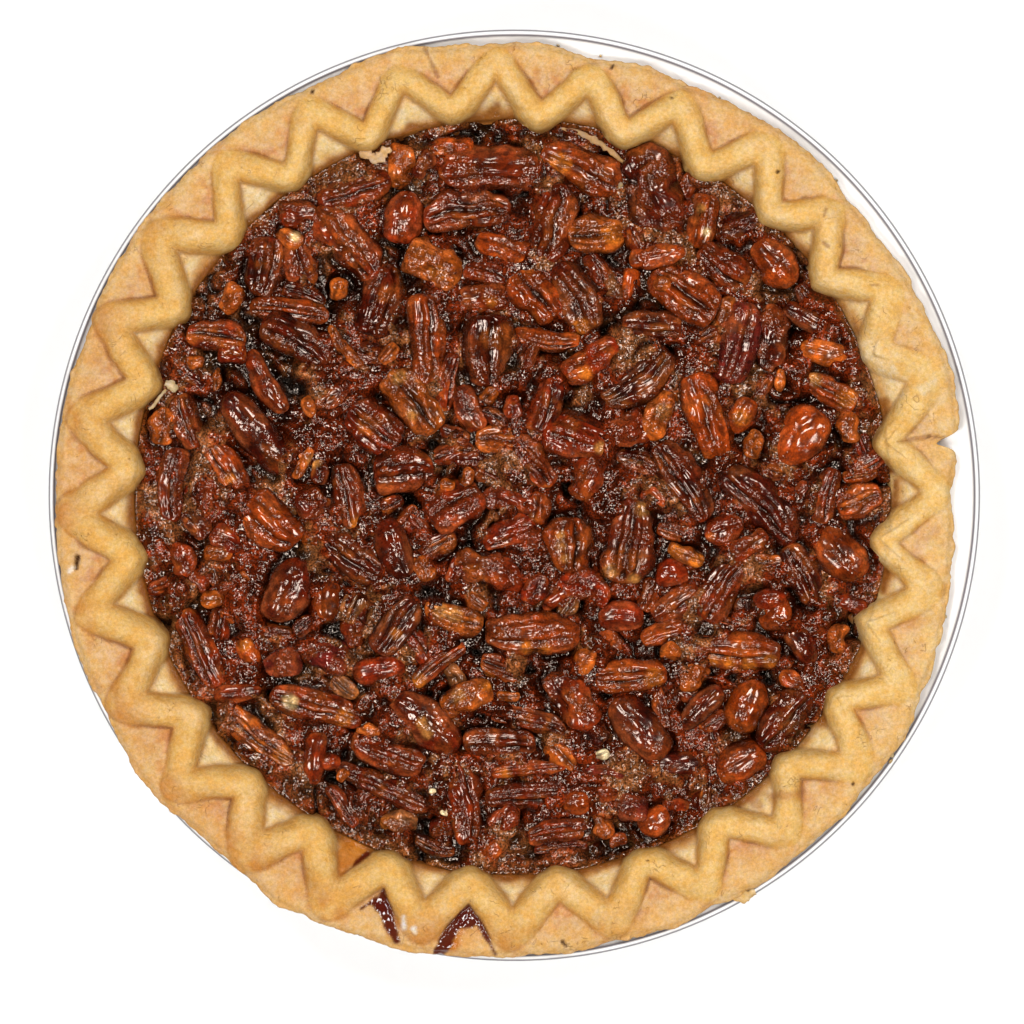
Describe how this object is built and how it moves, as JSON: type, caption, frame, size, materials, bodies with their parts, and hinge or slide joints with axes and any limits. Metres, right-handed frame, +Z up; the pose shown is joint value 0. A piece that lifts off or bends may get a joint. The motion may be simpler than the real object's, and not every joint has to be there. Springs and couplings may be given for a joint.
{
  "type": "pecan pie in a foil tin",
  "caption": "Whole round pecan pie in its own foil tin, with a zigzag rope crust edge round a nut-covered filling, resting flat on the tin's base.",
  "frame": {"origin": "centre of the underside of the tin's flat base", "axes": "+Z up through the tin's axis, the shortest extent; +Y towards the top of the pie as it is seen from above"},
  "size_m": [0.2444, 0.2444, 0.0403],
  "materials": {
    "foil": "bright rolled foil",
    "pastry": "baked golden shortcrust, dry and slightly rough",
    "candied_pecans": "nuts in glossy dark baked syrup"
  },
  "bodies": {
    "root": {"pie_tin": "foil", "pie_crust": "pastry", "pecan_filling": "candied_pecans"}
  },
  "joints": []
}
